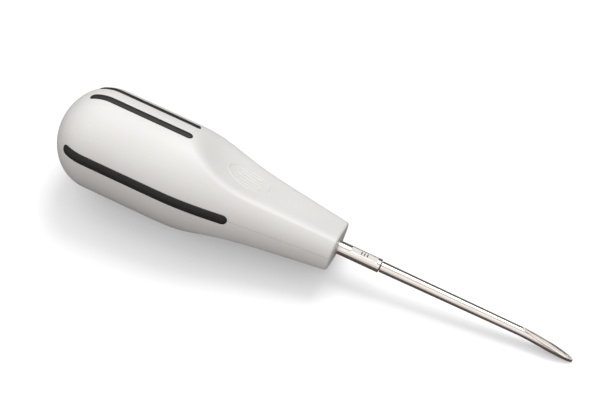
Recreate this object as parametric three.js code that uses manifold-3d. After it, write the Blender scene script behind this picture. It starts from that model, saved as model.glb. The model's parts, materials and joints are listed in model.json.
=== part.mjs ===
// Luxating dental elevator: a moulded two-shell handle with black grip strips, a moulded core, a steel
// collar and a steel shank whose end is a slightly bent gouge blade. Millimetres, +Z up.
//
// Each sub-part is drawn in the instrument's own axes, and the whole instrument is then laid down:
//   x runs from the rear of the handle to the tip of the blade,
//   z points out of the upper thumb rest, and y out of the left side.
import * as THREE from 'three';
import { mergeVertices } from 'three/addons/utils/BufferGeometryUtils.js';
import Module from 'manifold-3d';

// Handle
const HANDLE_LENGTH = 88.3;
const BULB_RADIUS = 15.35;
const REAR_DEPTH = 13.5;
const BARREL_END = 36;
const SHOULDER_END = 58;
const SHOULDER_RADIUS = 12.5;
const NECK_RADIUS = 7.95;
const NECK_RIM = 0.8;
const NECK_RIM_CUT = 0.24;
const SHELL_WALL = 2.4;
const FRONT_WALL = 3;
const PARTING_GAP = 0.3;
const CLEARANCE = 0.3;

// Points that the curves of the shoulder and the neck are drawn towards, as x and radius
const SHOULDER_PULLS = [45, BULB_RADIUS, 51, 13.95];
const NECK_PULL = [66, 10.95];

// Thumb rests: where their floor starts, eases and meets the neck, as heights above the axis along x
const REST_START = 39.3;
const REST_START_HEIGHT = 15.6;
const REST_EASE = 64;
const REST_EASE_HEIGHT = 7.45;
const REST_NECK_HEIGHT = 5.6;

// Points that the floor's curve is drawn towards, as x and height
const REST_PULLS = [{ x: 48, z: 10.6 }, { x: 54, z: 8.3 }];

// Ribs inside the shells that lock them to the core
const RIB_STARTS = [27, 60];
const RIB_LENGTH = 2;
const RIB_DEPTH = 1.3;

// Hollow at the rear of the core
const CORE_HOLLOW_END = 32;
const CORE_HOLLOW_RADIUS = 7.5;

// Grip strips: a pair beside the centre line of each shell, and a wider one over the parting line of
// each side. They stand a little above the shells.
const PAIR_STRIP = { start: 7, end: 39, width: 2.1, offset: 3.2 };
const SIDE_STRIP = { start: 6.4, end: 57.9, width: 3, offset: 0 };
const GROOVE_DEPTH = 1.3;
const STRIP_STAND = 0.2;

// Collar. Its flat faces up, turned a little to the right of the upper thumb rest.
const COLLAR_START = 74;
const COLLAR_END = 101.6;
const COLLAR_RADIUS = 2;
const COLLAR_BORE = 1.38;
const COLLAR_RIM = 0.15;
const FLAT_START = 92.2;
const FLAT_END = 100.5;
const FLAT_HEIGHT = 1.68;
const FLAT_TURN = 15;

// Tang: the part of the shank inside the collar and the core, with grooves that the core grips
const TANG_START = 40;
const TANG_RADIUS = 1.1;
const TANG_GROOVE_RADIUS = 0.75;
const TANG_GROOVE_STARTS = [44, 52, 60];
const TANG_GROOVE_LENGTH = 3;
const TANG_GAP = 0.28;

// Shaft and blade
const SHAFT_START = 101.9;
const SHAFT_ROOT_RADIUS = 1.66;
const SHAFT_END_RADIUS = 1.36;
const BLADE_START = 143.8;
const BLADE_RADIUS = 1.6;
const BLADE_END = 161.3;
const BLADE_BEND = 0.0043;
const BLADE_SWELL_END = 0.6;
const FACE_START = 144.3;
const FACE_START_HEIGHT = 1.38;
const FACE_ANGLE = 9;
const GUTTER_RADIUS = 1.28;
const GUTTER_NOSE = 8;
const GUTTER_SETBACK = 0.6;
const TIP_LENGTH = 8;
const TIP_BLUNTNESS = 0.14;
const TIP_RISE = 0.35;

// How it lies: rolled to one side, and tilted until the bulb and the tip both touch the table
const ROLL_ANGLE = -30;
const TILT_ANGLE = 6.28;

// Fineness of the round shapes
const HANDLE_SIDES = 36;
const STEEL_SIDES = 24;
const CURVE_STEPS = 7;
const BLADE_STEPS = 12;
const TIP_STEPS = 8;

// How far the solids that cut reach past what they cut, and a size larger than the whole handle
const PAST = 2;
const FAR = 60;

// Points closer together than this along the outline are taken as one
const SLIVER = 0.01;

const kernel = await Module();
kernel.setup();

// The closed solid of a geometry, with its seams merged and its flattened triangles dropped
function solid(geometry) {
  const bare = geometry.clone();
  bare.deleteAttribute('normal');
  bare.deleteAttribute('uv');
  const merged = mergeVertices(bare);
  const corners = merged.index.array;
  const kept = [];
  for (let i = 0; i < corners.length; i += 3) {
    const [a, b, c] = [corners[i], corners[i + 1], corners[i + 2]];
    if (a !== b && b !== c && c !== a) kept.push(a, b, c);
  }
  return new kernel.Manifold(
    new kernel.Mesh({
      numProp: 3,
      vertProperties: merged.attributes.position.array,
      triVerts: new Uint32Array(kept),
    }),
  );
}

function geometryOf(body) {
  const mesh = body.getMesh();
  const geometry = new THREE.BufferGeometry();
  geometry.setAttribute('position', new THREE.BufferAttribute(mesh.vertProperties, 3));
  geometry.setIndex(new THREE.BufferAttribute(mesh.triVerts, 1));
  geometry.computeVertexNormals();
  return geometry;
}

// A turned solid on the x axis. Each point is (x, radius), and the flats of the many-sided result
// touch the true radius.
function turned(points, sides) {
  const reach = 1 / Math.cos(Math.PI / sides);
  const profile = points.map((point) => new THREE.Vector2(point.y * reach, point.x));
  const geometry = new THREE.LatheGeometry(profile, sides, Math.PI / sides);
  geometry.rotateZ(-Math.PI / 2);
  return geometry;
}

function rod(start, end, radius, sides = STEEL_SIDES) {
  const points = [[start, 0], [start, radius], [end, radius], [end, 0]];
  return solid(turned(points.map(([x, r]) => new THREE.Vector2(x, r)), sides));
}

// A block given by its lowest and highest corners
function block(low, high) {
  const geometry = new THREE.BoxGeometry(high[0] - low[0], high[1] - low[1], high[2] - low[2]);
  geometry.translate((low[0] + high[0]) / 2, (low[1] + high[1]) / 2, (low[2] + high[2]) / 2);
  return solid(geometry);
}

function extruded(shape, depth) {
  return new THREE.ExtrudeGeometry(shape, { depth, bevelEnabled: false, curveSegments: CURVE_STEPS });
}

// A solid wider than the instrument along y, whose shape is drawn in x and z
function sideProfile(shape) {
  const geometry = extruded(shape, 2 * FAR);
  geometry.translate(0, 0, -FAR);
  geometry.rotateX(Math.PI / 2);
  return solid(geometry);
}

// A solid from z up to z + height, whose shape is drawn in x and y
function planProfile(shape, z, height) {
  const geometry = extruded(shape, height);
  geometry.translate(0, 0, z);
  return solid(geometry);
}

// The handle's outline from the rear pole to the neck: x along the axis, y the radius
function handleOutline() {
  const outline = new THREE.Path();
  outline.moveTo(0, 0);
  outline.absellipse(REAR_DEPTH, 0, REAR_DEPTH, BULB_RADIUS, Math.PI, Math.PI / 2, true);
  outline.lineTo(BARREL_END, BULB_RADIUS);
  outline.bezierCurveTo(...SHOULDER_PULLS, SHOULDER_END, SHOULDER_RADIUS);
  outline.quadraticCurveTo(...NECK_PULL, HANDLE_LENGTH, NECK_RADIUS);
  return outline;
}

// The outline moved inwards by inset, or outwards if that is negative, and cut square at x = front
function insetOutline(inset, front) {
  const points = [];
  for (const curve of handleOutline().curves) {
    const steps = curve.isLineCurve ? 1 : CURVE_STEPS;
    for (let i = points.length ? 1 : 0; i <= steps; i += 1) {
      const tangent = curve.getTangent(i / steps);
      const inwards = new THREE.Vector2(tangent.y, -tangent.x);
      points.push(curve.getPoint(i / steps).addScaledVector(inwards, inset));
    }
  }
  points[0].y = 0;
  const behind = points.filter((point) => point.x < front - SLIVER);
  const last = behind.at(-1);
  const next = points[behind.length] ?? points.at(-1);
  const share = Math.min(1, (front - last.x) / Math.max(next.x - last.x, SLIVER));
  return [...behind, new THREE.Vector2(front, last.y + (next.y - last.y) * share)];
}

function handleBody(inset, front) {
  const points = insetOutline(inset, front);
  return solid(turned([...points, new THREE.Vector2(front, 0)], HANDLE_SIDES));
}

// The handle's outside, with the small rounding at the front of the neck
function handleOutside() {
  const points = insetOutline(0, HANDLE_LENGTH);
  const corner = points.pop();
  points.push(
    new THREE.Vector2(corner.x - NECK_RIM, corner.y),
    new THREE.Vector2(corner.x - NECK_RIM_CUT, corner.y - NECK_RIM_CUT),
    new THREE.Vector2(corner.x, corner.y - NECK_RIM),
    new THREE.Vector2(corner.x, 0),
  );
  return solid(turned(points, HANDLE_SIDES));
}

// What the upper and lower thumb rests take away, with their floors sunk by inset
function thumbRests(inset) {
  const shape = new THREE.Shape();
  const front = HANDLE_LENGTH + PAST;
  const slope = (REST_NECK_HEIGHT - REST_EASE_HEIGHT) / (HANDLE_LENGTH - REST_EASE);
  const frontHeight = REST_NECK_HEIGHT + slope * (front - HANDLE_LENGTH);
  shape.moveTo(REST_START, REST_START_HEIGHT - inset);
  const pulls = REST_PULLS.flatMap((pull) => [pull.x, pull.z - inset]);
  shape.bezierCurveTo(...pulls, REST_EASE, REST_EASE_HEIGHT - inset);
  shape.lineTo(front, frontHeight - inset);
  shape.lineTo(front, FAR);
  shape.lineTo(REST_START, FAR);
  const upper = sideProfile(shape);
  return upper.add(upper.rotate([180, 0, 0]));
}

// The space of one grip strip, grown by margin all round: a slot with round ends that goes straight down
// into the z side. It lies left of the centre line, or right of it if side is -1, and is turned about x.
function slot({ strip, side, turn }, margin) {
  const radius = strip.width / 2 + margin;
  const first = strip.start + strip.width / 2;
  const last = strip.end - strip.width / 2;
  const shape = new THREE.Shape();
  shape.moveTo(first, -radius);
  shape.lineTo(last, -radius);
  shape.absarc(last, 0, radius, -Math.PI / 2, Math.PI / 2, false);
  shape.lineTo(first, radius);
  shape.absarc(first, 0, radius, Math.PI / 2, (3 * Math.PI) / 2, false);
  const body = planProfile(shape, PAST, FAR);
  return body.translate([0, side * strip.offset, 0]).rotate([turn, 0, 0]);
}

// Where the strips sit. A half turn takes the left side (+y) to the right.
const STRIPS = [
  { name: 'upper_left_strip', strip: PAIR_STRIP, side: 1, turn: 0 },
  { name: 'upper_right_strip', strip: PAIR_STRIP, side: -1, turn: 0 },
  { name: 'lower_left_strip', strip: PAIR_STRIP, side: -1, turn: 180 },
  { name: 'lower_right_strip', strip: PAIR_STRIP, side: 1, turn: 180 },
  { name: 'left_side_strip', strip: SIDE_STRIP, side: 1, turn: -90 },
  { name: 'right_side_strip', strip: SIDE_STRIP, side: 1, turn: 90 },
];

function gripStrip(place) {
  const top = handleBody(-STRIP_STAND, HANDLE_LENGTH);
  const seat = handleBody(GROOVE_DEPTH - CLEARANCE, HANDLE_LENGTH);
  return top.intersect(slot(place, 0)).subtract(seat);
}

function grooves() {
  const seat = handleBody(GROOVE_DEPTH, HANDLE_LENGTH);
  const spaces = STRIPS.map((place) => slot(place, CLEARANCE));
  return spaces.reduce((all, space) => all.add(space)).subtract(seat);
}

// Rings at the ribs, from the inside of the wall down to depth, longer by margin at both ends
function ribRings(depth, margin) {
  const wall = handleBody(SHELL_WALL - CLEARANCE, HANDLE_LENGTH);
  const hollow = handleBody(SHELL_WALL + depth, HANDLE_LENGTH);
  const slices = RIB_STARTS.map((start) => {
    const end = start + RIB_LENGTH;
    return block([start - margin, -FAR, -FAR], [end + margin, FAR, FAR]);
  });
  return slices.reduce((all, slice) => all.add(slice)).intersect(wall).subtract(hollow);
}

// Both shells as one, before they part
function shells() {
  const cavity = handleBody(SHELL_WALL, HANDLE_LENGTH - FRONT_WALL).subtract(thumbRests(SHELL_WALL));
  const collarHole = rod(COLLAR_START, HANDLE_LENGTH + PAST, COLLAR_RADIUS + CLEARANCE);
  return handleOutside()
    .subtract(cavity)
    .add(ribRings(RIB_DEPTH, 0))
    .subtract(thumbRests(0))
    .subtract(grooves())
    .subtract(collarHole);
}

function upperShell() {
  return shells().intersect(block([-FAR, -FAR, PARTING_GAP / 2], [2 * FAR, FAR, FAR]));
}

function lowerShell() {
  return shells().intersect(block([-FAR, -FAR, -FAR], [2 * FAR, FAR, -PARTING_GAP / 2]));
}

// The tang's outline, grown by gap all round, from its rear end to x = end
function tangOutline(gap, end) {
  const points = [[TANG_START - gap, 0], [TANG_START - gap, TANG_RADIUS + gap]];
  for (const start of TANG_GROOVE_STARTS) {
    const near = start + gap;
    const far = start + TANG_GROOVE_LENGTH - gap;
    points.push([near, TANG_RADIUS + gap], [near, TANG_GROOVE_RADIUS + gap]);
    points.push([far, TANG_GROOVE_RADIUS + gap], [far, TANG_RADIUS + gap]);
  }
  points.push([end, TANG_RADIUS + gap]);
  return points.map(([x, r]) => new THREE.Vector2(x, r));
}

function tangSpace() {
  const outline = tangOutline(TANG_GAP, COLLAR_START);
  return solid(turned([...outline, new THREE.Vector2(COLLAR_START, 0)], STEEL_SIDES));
}

function core() {
  const inset = SHELL_WALL + CLEARANCE;
  const front = HANDLE_LENGTH - FRONT_WALL - CLEARANCE;
  return handleBody(inset, front)
    .subtract(thumbRests(inset))
    .subtract(ribRings(RIB_DEPTH + CLEARANCE, CLEARANCE))
    .subtract(rod(-PAST, CORE_HOLLOW_END, CORE_HOLLOW_RADIUS, HANDLE_SIDES))
    .subtract(rod(COLLAR_START - CLEARANCE, HANDLE_LENGTH, COLLAR_RADIUS + CLEARANCE))
    .subtract(tangSpace());
}

function collar() {
  const points = [
    [COLLAR_START, COLLAR_BORE],
    [COLLAR_START, COLLAR_RADIUS],
    [COLLAR_END - COLLAR_RIM, COLLAR_RADIUS],
    [COLLAR_END, COLLAR_RADIUS - COLLAR_RIM],
    [COLLAR_END, COLLAR_BORE],
    [COLLAR_START, COLLAR_BORE],
  ];
  const sleeve = solid(turned(points.map(([x, r]) => new THREE.Vector2(x, r)), STEEL_SIDES));
  const flat = block([FLAT_START, -FAR, FLAT_HEIGHT], [FLAT_END, FAR, FAR]);
  return sleeve.subtract(flat.rotate([FLAT_TURN, 0, 0]));
}

// How much of its width the blade keeps at x: all of it, until it rounds off to the tip
function tipNarrowing(x) {
  const share = THREE.MathUtils.clamp((x - BLADE_END + TIP_LENGTH) / TIP_LENGTH, 0, 1);
  return Math.max(Math.sqrt(1 - share * share), TIP_BLUNTNESS);
}

// Places along the rounding of the tip, closer together towards its end
function tipPlaces() {
  const places = [];
  for (let i = 1; i <= TIP_STEPS; i += 1) {
    const angle = (Math.PI / 2) * (i / TIP_STEPS);
    places.push(BLADE_END - TIP_LENGTH * (1 - Math.sin(angle)));
  }
  return places;
}

function bladeRadius(x) {
  const share = (x - BLADE_START) / (BLADE_END - BLADE_START);
  const swell = THREE.MathUtils.smoothstep(share, 0, BLADE_SWELL_END);
  return SHAFT_END_RADIUS + (BLADE_RADIUS - SHAFT_END_RADIUS) * swell;
}

// Tang, shaft and blank of the blade, turned straight, then pinched to the tip and bent down
function shankBlank() {
  const points = tangOutline(0, SHAFT_START);
  points.push(new THREE.Vector2(SHAFT_START, SHAFT_ROOT_RADIUS));
  const places = [];
  for (let i = 0; i <= BLADE_STEPS; i += 1) {
    places.push(BLADE_START + (BLADE_END - TIP_LENGTH - BLADE_START) * (i / BLADE_STEPS));
  }
  places.push(...tipPlaces());
  places.forEach((x) => points.push(new THREE.Vector2(x, bladeRadius(x))));
  points.push(new THREE.Vector2(BLADE_END, 0));
  const geometry = turned(points, STEEL_SIDES);
  const position = geometry.attributes.position;
  for (let i = 0; i < position.count; i += 1) {
    const narrowing = tipNarrowing(position.getX(i));
    const along = Math.max(0, position.getX(i) - BLADE_START);
    const height = position.getZ(i) * narrowing ** TIP_RISE;
    position.setY(i, position.getY(i) * narrowing);
    position.setZ(i, height - BLADE_BEND * along * along);
  }
  return solid(geometry);
}

// The flat that the top of the blade is ground to, and the round gutter along it
function faceAndGutter() {
  const length = BLADE_END + PAST - FACE_START;
  const face = block([0, -FAR, 0], [length + PAST, FAR, FAR]);
  const points = [];
  for (let i = 0; i <= CURVE_STEPS; i += 1) {
    const angle = (Math.PI / 2) * (i / CURVE_STEPS);
    const x = GUTTER_NOSE * (1 - Math.cos(angle));
    points.push(new THREE.Vector2(x, GUTTER_RADIUS * Math.sin(angle)));
  }
  const start = FACE_START + GUTTER_SETBACK;
  tipPlaces().forEach((x) => points.push(new THREE.Vector2(x - start, GUTTER_RADIUS * tipNarrowing(x))));
  points.push(new THREE.Vector2(length, GUTTER_RADIUS * TIP_BLUNTNESS), new THREE.Vector2(length, 0));
  const gutter = solid(turned(points, STEEL_SIDES)).translate([GUTTER_SETBACK, 0, 0]);
  return face.add(gutter).rotate([0, FACE_ANGLE, 0]).translate([FACE_START, 0, FACE_START_HEIGHT]);
}

function shank() {
  return shankBlank().subtract(faceAndGutter());
}

const GREY_PLASTIC = { color: 0xdcdcda, roughness: 0.55, metalness: 0 };
const BLACK_RUBBER = { color: 0x252527, roughness: 0.75, metalness: 0 };
const BLACK_PLASTIC = { color: 0x1c1c1e, roughness: 0.6, metalness: 0 };
const STEEL = { color: 0xc9c6c2, roughness: 0.22, metalness: 1 };

function part(name, body, finish) {
  const mesh = new THREE.Mesh(geometryOf(body), new THREE.MeshStandardMaterial(finish));
  mesh.name = name;
  return mesh;
}

const instrument = new THREE.Group();
instrument.add(part('upper_handle_shell', upperShell(), GREY_PLASTIC));
instrument.add(part('lower_handle_shell', lowerShell(), GREY_PLASTIC));
instrument.add(part('handle_core', core(), BLACK_PLASTIC));
for (const place of STRIPS) instrument.add(part(place.name, gripStrip(place), BLACK_RUBBER));
instrument.add(part('collar', collar(), STEEL));
instrument.add(part('shank', shank(), STEEL));

// Lay it down, with its lowest point at z = 0 and the middle of its length and width over the origin
const { degToRad } = THREE.MathUtils;
instrument.rotation.set(degToRad(ROLL_ANGLE), degToRad(TILT_ANGLE), 0, 'YXZ');
instrument.updateMatrixWorld(true);
const extent = new THREE.Box3().setFromObject(instrument, true);
const middle = extent.getCenter(new THREE.Vector3());
instrument.position.set(-middle.x, -middle.y, -extent.min.z);

export default instrument;
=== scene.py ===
"""Luxating dental elevator: finished handle shells, grip strips, collar and shank round the packed model.

Pieces are drawn in the instrument's own axes, which the model's flat faces give: x from the rear of the
handle to the tip of the blade, z out of the upper thumb rest, y out of the left side. Lengths are metres.
"""

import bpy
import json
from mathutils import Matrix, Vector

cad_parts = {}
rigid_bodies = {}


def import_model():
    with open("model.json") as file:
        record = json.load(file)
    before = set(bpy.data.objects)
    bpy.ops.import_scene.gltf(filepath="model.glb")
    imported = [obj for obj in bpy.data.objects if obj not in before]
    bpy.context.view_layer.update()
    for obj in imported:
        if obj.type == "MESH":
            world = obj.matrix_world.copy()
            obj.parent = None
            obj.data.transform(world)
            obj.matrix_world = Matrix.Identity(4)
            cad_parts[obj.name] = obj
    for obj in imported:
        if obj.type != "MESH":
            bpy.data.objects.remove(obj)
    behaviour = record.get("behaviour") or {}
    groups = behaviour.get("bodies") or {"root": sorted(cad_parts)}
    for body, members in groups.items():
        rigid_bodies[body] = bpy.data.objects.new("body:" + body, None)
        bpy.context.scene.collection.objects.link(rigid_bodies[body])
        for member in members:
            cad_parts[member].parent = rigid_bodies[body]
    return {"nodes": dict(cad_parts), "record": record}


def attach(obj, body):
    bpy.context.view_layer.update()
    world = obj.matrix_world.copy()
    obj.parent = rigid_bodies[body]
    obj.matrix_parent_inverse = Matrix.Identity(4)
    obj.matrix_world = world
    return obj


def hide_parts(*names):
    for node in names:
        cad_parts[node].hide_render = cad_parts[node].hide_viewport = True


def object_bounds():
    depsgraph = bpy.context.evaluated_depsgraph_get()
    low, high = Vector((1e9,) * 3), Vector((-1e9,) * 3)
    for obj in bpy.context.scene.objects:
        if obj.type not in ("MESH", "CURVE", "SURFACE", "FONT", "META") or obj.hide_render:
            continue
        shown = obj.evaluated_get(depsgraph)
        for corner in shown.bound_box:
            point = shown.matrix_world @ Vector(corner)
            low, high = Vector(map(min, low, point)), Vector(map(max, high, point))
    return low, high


bl_info = {
    "name": "Dental Elevator",
    "version": (1, 0, 0),
    "blender": (4, 5, 0),
    "location": "3D View > Sidebar > Elevator",
    "description": "Makes the pieces of a luxating dental elevator round its packed model",
    "category": "Add Mesh",
}

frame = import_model()

import json
import math

import bpy
import numpy as np
from bpy.props import FloatProperty, FloatVectorProperty, IntProperty, PointerProperty
from mathutils import Matrix, Vector

CAD_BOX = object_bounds()
BODY = "root"
MM = 0.001
LOCAL = "instrument"     # the attribute that holds a point's place in the instrument's axes

PAIR_STRIPS = ("upper_left_strip", "upper_right_strip", "lower_left_strip", "lower_right_strip")

SHARP_SHELL = 35.0       # angles, in degrees, past which a piece's edges stay sharp
SHARP_STEEL = 25.0
SHARP_STRIP = 50.0
SHARP_MARK = 60.0
SKIN_GAP = 0.06 * MM     # left between the neck's skin and the collar's
RAY_HEIGHT = 40 * MM     # rays that lay a piece on the handle start this far from its axis
RAY_LENGTH = 100 * MM


# ---------------------------------------------------------------- the frame's measures


def instrument_axes():
    """Rows x, y and z of the instrument's axes in the row frame, from the model's two flat faces."""
    mounts = {mount["name"]: mount for mount in frame["record"]["mounts"]}
    along = Vector(mounts["neck_face"]["axis"]).normalized()
    out = Vector(mounts["thumb_rest"]["axis"])
    out = (out - along * out.dot(along)).normalized()
    return np.array([along, out.cross(along), out])


def node_points(name):
    """A CAD node's vertices in the row frame, as an array."""
    mesh = frame["nodes"][name].data
    points = np.zeros(len(mesh.vertices) * 3)
    mesh.vertices.foreach_get("co", points)
    return points.reshape(-1, 3)


def find_lay():
    """The matrix from the instrument's axes to the row frame. Its zero is the handle's rear pole."""
    axes = instrument_axes()
    collar = node_points("collar") @ axes.T
    front_ring = collar[collar[:, 0] > collar[:, 0].max() - 0.01 * MM]
    centre = (front_ring.min(0) + front_ring.max(0)) / 2
    centre[0] = (node_points("upper_handle_shell") @ axes.T)[:, 0].min()
    lay = Matrix([list(axis) for axis in axes.T]).to_4x4()
    lay.translation = Vector(axes.T @ centre)
    return lay


LAY = find_lay()


def node_box(*names):
    """Lowest and highest corner of some CAD nodes, in the instrument's axes."""
    back = np.array(LAY.inverted())
    points = np.concatenate([node_points(name) for name in names])
    points = points @ back[:3, :3].T + back[:3, 3]
    return points.min(0), points.max(0)


SHELL_BOX = node_box("upper_handle_shell", "lower_handle_shell")
COLLAR_BOX = node_box("collar")
SHANK_BOX = node_box("shank")
PAIR_BOX = node_box("upper_left_strip")
SIDE_BOX = node_box("left_side_strip")
PAIR_MIDDLE = (PAIR_BOX[0][1] + PAIR_BOX[1][1]) / 2


# ---------------------------------------------------------------- settings


def length(name, description, default):
    return FloatProperty(name=name, description=description, default=default, unit="LENGTH", precision=5)


def degrees(name, description, default):
    return FloatProperty(name=name, description=description, default=math.radians(default), subtype="ANGLE")


def number(name, description, default):
    return FloatProperty(name=name, description=description, default=default)


def colour(name, description, default):
    return FloatVectorProperty(
        name=name, description=description, default=default, size=len(default), subtype="COLOR", min=0, max=1
    )


def lengths(name, description, default):
    return FloatVectorProperty(
        name=name, description=description, default=default, size=len(default), unit="LENGTH", precision=5
    )


class ElevatorHandle(bpy.types.PropertyGroup):
    """Sizes of the moulded handle."""

    length: length("Length", "From the rear pole to the front of the neck", SHELL_BOX[1][0])
    bulb_radius: length("Bulb radius", "Half of the bulb's width", SHELL_BOX[1][2])
    rear_depth: length("Rear depth", "How long the rounding at the rear is", 13.5 * MM)
    barrel_end: length("Barrel end", "Where the bulb starts to narrow", 36 * MM)
    shoulder_end: length("Shoulder end", "Where the shoulder runs into the neck", 58 * MM)
    shoulder_radius: length("Shoulder radius", "The radius there", 12.5 * MM)
    shoulder_pull: lengths(
        "Shoulder pull",
        "Place along and radius that the shoulder's curve is drawn towards",
        (51 * MM, 13.95 * MM),
    )
    shoulder_run: length("Shoulder run", "How far the bulb's width is held on into the shoulder", 9 * MM)
    neck_pull: lengths(
        "Neck pull", "Place along and radius that the neck's curve is drawn towards", (66 * MM, 10.95 * MM)
    )
    neck_radius: length("Neck radius", "The radius at the front of the neck", 7.95 * MM)
    neck_rim: length("Neck rim", "Rounding round the front face", 0.8 * MM)
    wall: length("Wall", "Thickness of the shells", 2.4 * MM)
    front_wall: length("Front wall", "Thickness of the front of the neck", 3 * MM)
    rest_start: length("Rest start", "Where the thumb rests start, at the centre line", 39.3 * MM)
    rest_start_height: length("Rest start height", "Height of the floor above the axis there", 15.6 * MM)
    rest_first_pull: lengths(
        "Rest first pull",
        "Place along and height that the floor's curve is drawn towards",
        (48 * MM, 10.6 * MM),
    )
    rest_second_pull: lengths(
        "Rest second pull", "The next place and height it is drawn towards", (54 * MM, 8.3 * MM)
    )
    rest_ease: length("Rest ease", "Where the floor of the thumb rests runs straight", 64 * MM)
    rest_ease_height: length("Rest ease height", "Height of the floor above the axis there", 7.45 * MM)
    rest_neck_height: length("Rest neck height", "Height of the floor at the neck", 5.6 * MM)
    rest_edge: length("Rest edge", "Softness of the edge round a thumb rest", 1.5 * MM)
    rest_dish: length("Rest dish", "How far the floor is hollowed across", 0.35 * MM)
    parting: length("Parting", "Gap between the two shells", 0.05 * MM)
    parting_round: length("Parting round", "Rounding of the shells' edges at the parting", 0.16 * MM)


class ElevatorStrips(bpy.types.PropertyGroup):
    """Sizes of the grip strips and their grooves."""

    pair_start: length("Pair start", "Rear end of the paired strips", PAIR_BOX[0][0])
    pair_end: length("Pair end", "Front end of the paired strips", PAIR_BOX[1][0])
    pair_width: length("Pair width", "Width of a paired strip", PAIR_BOX[1][1] - PAIR_BOX[0][1])
    pair_offset: length("Pair offset", "From the centre line to a paired strip's middle", PAIR_MIDDLE)
    side_start: length("Side start", "Rear end of the side strips", SIDE_BOX[0][0])
    side_end: length("Side end", "Front end of the side strips", SIDE_BOX[1][0])
    side_width: length("Side width", "Width of a side strip", SIDE_BOX[1][2] - SIDE_BOX[0][2])
    groove_depth: length("Groove depth", "Depth of the grooves in the shells", 1.1 * MM)
    lip: length("Lip", "Rounding of the grooves' edges", 0.22 * MM)
    stand: length("Stand", "How far the strips stand above the shell, less their doming", 0.1 * MM)
    crown: length("Crown", "How much the strips' tops are domed", 0.16 * MM)
    edge: length("Strip edge", "Rounding of the strips' edges", 0.22 * MM)


class ElevatorMotif(bpy.types.PropertyGroup):
    """Sizes of the relief in the thumb rests."""

    centre: length("Centre", "Middle of the oval along the handle", 57.5 * MM)
    half_length: length("Half length", "Half of the oval's length", 6.6 * MM)
    half_width: length("Half width", "Half of the oval's width", 4.3 * MM)
    ribs: IntProperty(name="Ribs", description="How many ribs cross the oval", default=5, min=2)
    reach: number("Reach", "Share of the oval that the ribs fill", 0.68)
    bead: length("Bead", "Radius of the bead that the relief is drawn with", 0.3 * MM)
    sink: length("Sink", "How far the bead's middle lies below the floor", 0.12 * MM)


class ElevatorSteel(bpy.types.PropertyGroup):
    """Sizes of the collar, its size mark, the shaft and the blade."""

    collar_radius: length("Collar radius", "Outer radius of the collar", COLLAR_BOX[1][1])
    collar_rim: length("Collar rim", "Rounding of the collar's front edge", 0.14 * MM)
    flat_start: length("Flat start", "Rear end of the collar's flat", 92.2 * MM)
    flat_end: length("Flat end", "Front end of the collar's flat", 100.5 * MM)
    flat_height: length("Flat height", "Height of the flat above the axis", 1.68 * MM)
    flat_turn: degrees("Flat turn", "Turn of the flat to the right", 15)
    mark_bars: IntProperty(name="Mark bars", description="How many bars the size mark has", default=3, min=1)
    mark_pitch: length("Mark pitch", "From one bar to the next", 0.9 * MM)
    mark_size: lengths(
        "Mark size", "Size of a bar along the collar, across it and upwards", (0.34 * MM, 1.2 * MM, 0.03 * MM)
    )
    tang_radius: length("Tang radius", "Radius of the tang inside the collar", 1.1 * MM)
    shaft_start: length("Shaft start", "Shoulder in front of the collar", 101.8 * MM)
    shaft_radius: length("Shaft radius", "Radius at the shoulder", 1.66 * MM)
    shaft_end_radius: length("Shaft end radius", "Radius where the blade starts", 1.36 * MM)
    blade_start: length("Blade start", "Where the shank starts to bend", 143.8 * MM)
    blade_radius: length("Blade radius", "Radius of the blade's back", 1.6 * MM)
    blade_end: length("Blade end", "The tip", SHANK_BOX[1][0])
    face_start: length("Face start", "Where the blade's ground face starts", 144.3 * MM)
    face_angle: degrees("Face angle", "Slope of the ground face", 9)
    gutter_depth: length("Gutter depth", "Depth of the gutter below the ground face", 1.28 * MM)
    gutter_power: number("Gutter power", "Squareness of the gutter's section", 2.4)
    gutter_setback: length("Gutter setback", "From the face's start to the gutter's", 0.6 * MM)
    gutter_edge: length("Gutter edge", "Width of the land left at each side of the gutter", 0.05 * MM)
    gutter_nose: length("Gutter nose", "Length over which the gutter reaches its depth", 8 * MM)
    tip_length: length("Tip length", "Length of the tip's rounding", 8 * MM)
    tip_rise: number("Tip rise", "How fast the back rises where the tip narrows", 0.35)
    tip_bluntness: number("Tip bluntness", "Share of its width left at the tip", 0.14)
    swell_share: number("Swell share", "Share of the blade over which it grows to its radius", 0.6)
    thinnest: length("Thinnest", "Least thickness of the blade under the gutter", 0.04 * MM)
    bend: number("Bend", "Drop of the blade per metre squared", 4.3)


class ElevatorFinish(bpy.types.PropertyGroup):
    """Colours of the finishes."""

    shell: colour("Shell", "Moulded grey of the handle", (0.585, 0.585, 0.58, 1))
    rubber: colour("Rubber", "Black of the grip strips", (0.006, 0.0058, 0.0056, 1))
    core: colour("Core", "Black of the moulded core", (0.016, 0.016, 0.017, 1))
    steel: colour("Steel", "Polished stainless steel", (0.72, 0.69, 0.66, 1))
    mark: colour("Mark", "Dark oxide of the size mark", (0.03, 0.028, 0.027, 1))
    floor: colour("Floor", "The pale table", (0.74, 0.75, 0.765, 1))
    card: colour("Card", "Dark card that the object sees below it", (0.075, 0.057, 0.05, 1))


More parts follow.
